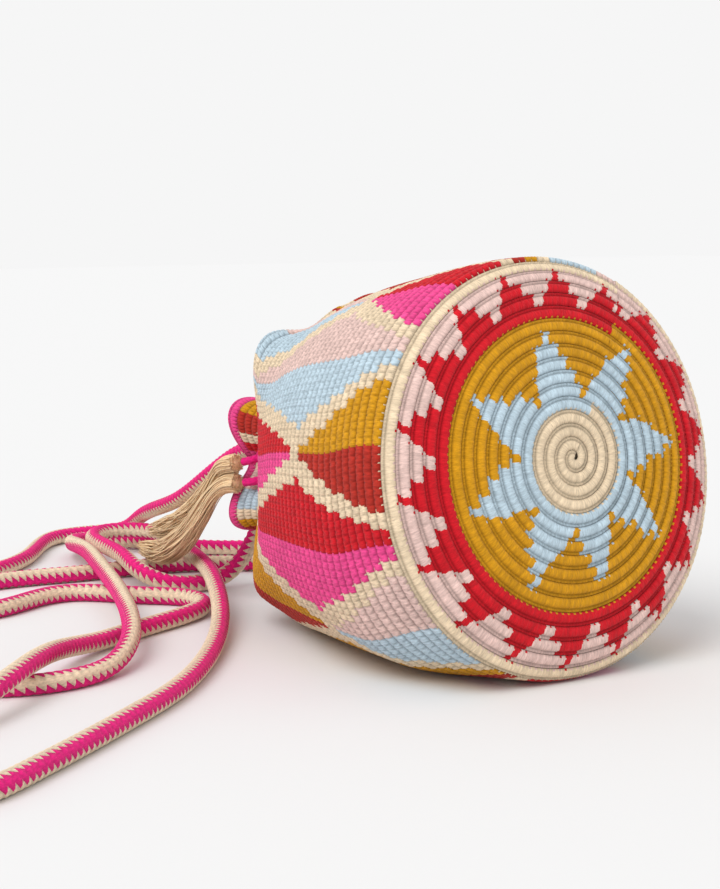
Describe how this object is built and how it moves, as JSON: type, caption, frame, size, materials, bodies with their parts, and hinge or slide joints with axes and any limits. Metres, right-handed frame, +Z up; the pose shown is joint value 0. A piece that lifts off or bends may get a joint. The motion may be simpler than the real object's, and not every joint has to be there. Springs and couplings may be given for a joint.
{
  "type": "wayuu mochila bag",
  "caption": "Round-based crocheted bucket bag on its side, with a gathered, ruffled neck, a threaded drawstring with fringe tassels and a long braided strap.",
  "frame": {"origin": "on the floor, under the middle of the bag's body as it lies on its side", "axes": "+Y along the bag's axis from the patterned base to the mouth, +Z up, and the strap laid out towards -X and +Y"},
  "size_m": [0.4878, 0.5566, 0.218],
  "materials": {
    "crochet_yarn": "matt cotton yarn, crocheted in colours: cream, mustard, red, brick, magenta, pink and pale blue",
    "drawstring_braid": "matt braided cotton",
    "tassel_thread": "loose cotton threads with a slight sheen",
    "strap_braid": "matt four-strand braid in magenta and cream"
  },
  "bodies": {
    "root": {"bag_body": "crochet_yarn", "drawstring": "drawstring_braid", "tassel_upper": "tassel_thread", "tassel_lower": "tassel_thread", "strap": "strap_braid"}
  },
  "joints": []
}
